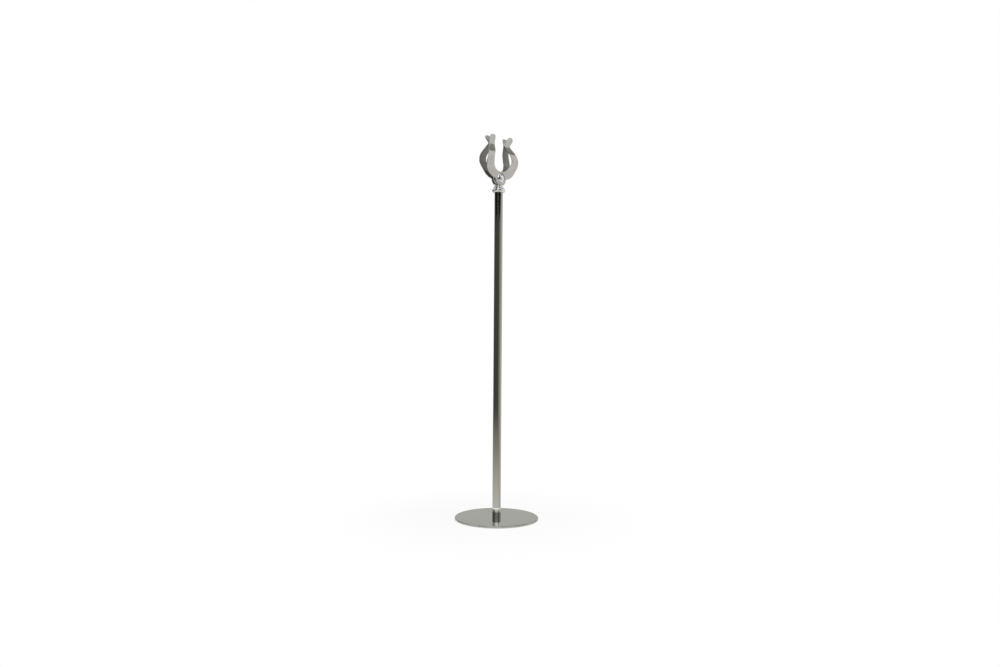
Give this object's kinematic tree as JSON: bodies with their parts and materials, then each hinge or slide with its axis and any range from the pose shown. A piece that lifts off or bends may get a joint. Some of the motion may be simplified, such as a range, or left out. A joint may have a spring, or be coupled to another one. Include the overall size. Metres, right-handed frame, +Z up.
{
  "type": "table number stand",
  "caption": "Table number stand: round flat foot, slim polished pole and a lyre shaped spring clip on a turned collar, clamped by a ball.",
  "frame": {"origin": "centre of the underside of the round foot, on the table", "axes": "+Z up along the pole; a card held in the clip lies in the XZ plane, so the plates of the clip face +Y and -Y"},
  "size_m": [0.1, 0.1, 0.457],
  "materials": {
    "polished_steel": "mirror polished stainless steel",
    "spring_steel": "bright rolled stainless spring sheet, buffed",
    "chrome_finial": "bright chrome over turned metal",
    "insert_brass": "turned brass, inside the pole",
    "zinc_screw": "zinc plated screw"
  },
  "bodies": {
    "root": {"base_disc": "polished_steel", "base_screw": "zinc_screw", "lower_insert": "insert_brass", "pole": "polished_steel", "upper_insert": "insert_brass", "collar": "chrome_finial", "clip": "spring_steel", "ball_screw": "chrome_finial"}
  },
  "joints": []
}
